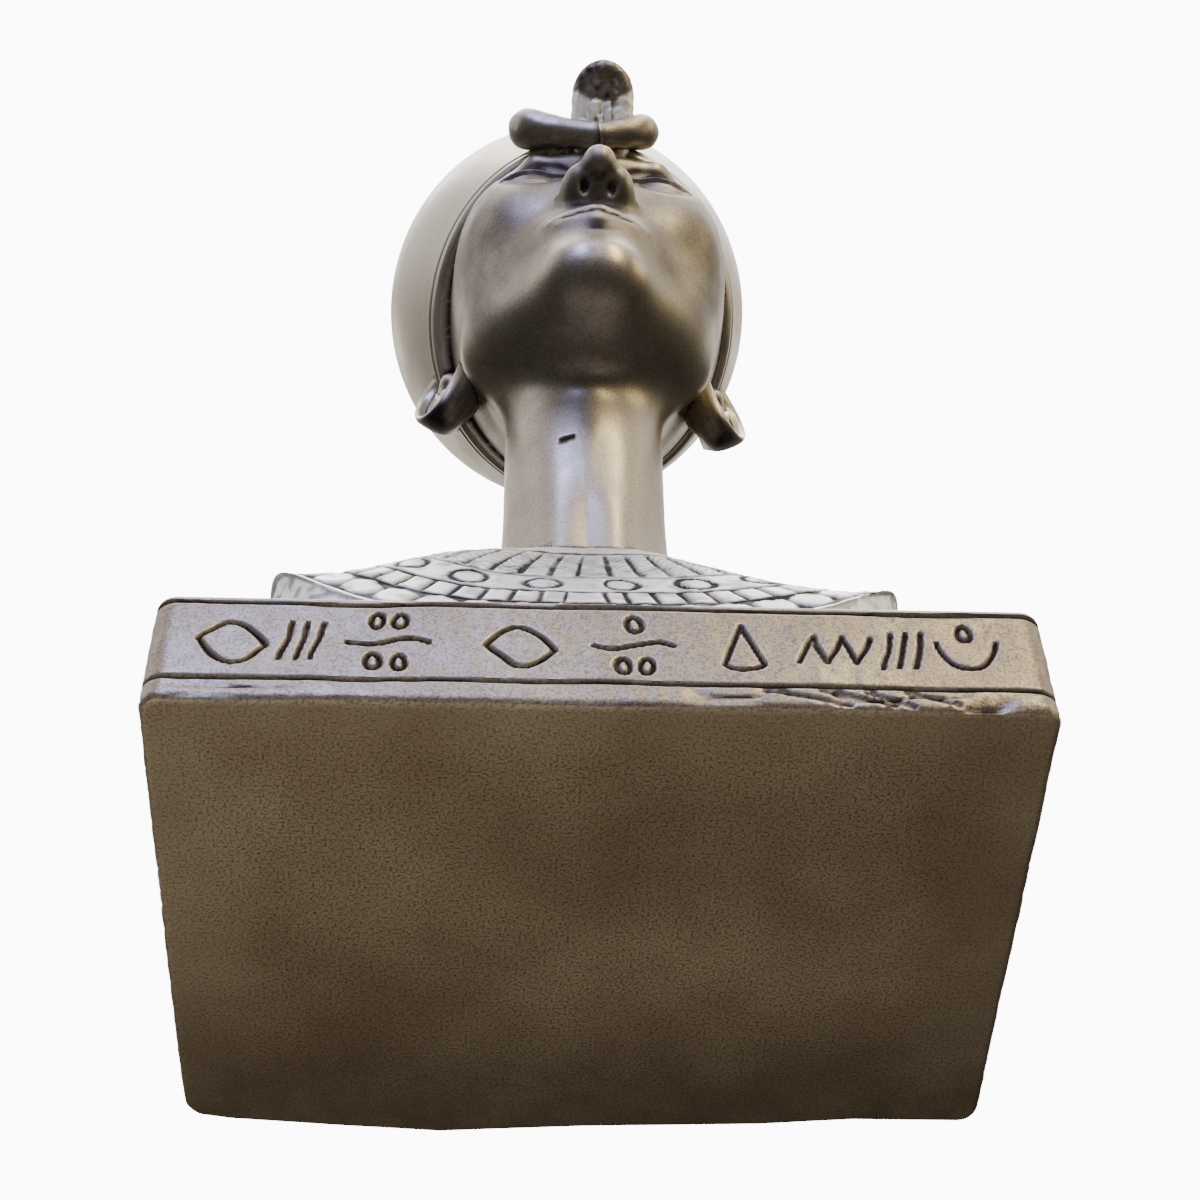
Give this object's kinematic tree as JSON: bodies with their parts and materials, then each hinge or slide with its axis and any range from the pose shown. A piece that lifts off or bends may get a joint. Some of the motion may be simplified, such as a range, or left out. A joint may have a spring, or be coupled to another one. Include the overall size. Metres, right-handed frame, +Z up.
{
  "type": "queen bust",
  "caption": "Small cast bust of a crowned queen with a rearing cobra, a broad collar and cut shoulders, on an oblong plinth with rows of cut strokes.",
  "frame": {"origin": "middle of the plinth's underside", "axes": "+Z up, the face looks along -Y, +X to the right seen from the front"},
  "size_m": [0.1014, 0.0816, 0.1887],
  "materials": {
    "antique_bronze": "satin antiqued bronze and pewter finish on cast resin, collar rubbed bright silver over dark recesses",
    "antique_pewter": "satin dark pewter finish on cast resin, olive brown below"
  },
  "bodies": {
    "root": {"bust": "antique_bronze", "plinth": "antique_pewter"}
  },
  "joints": []
}
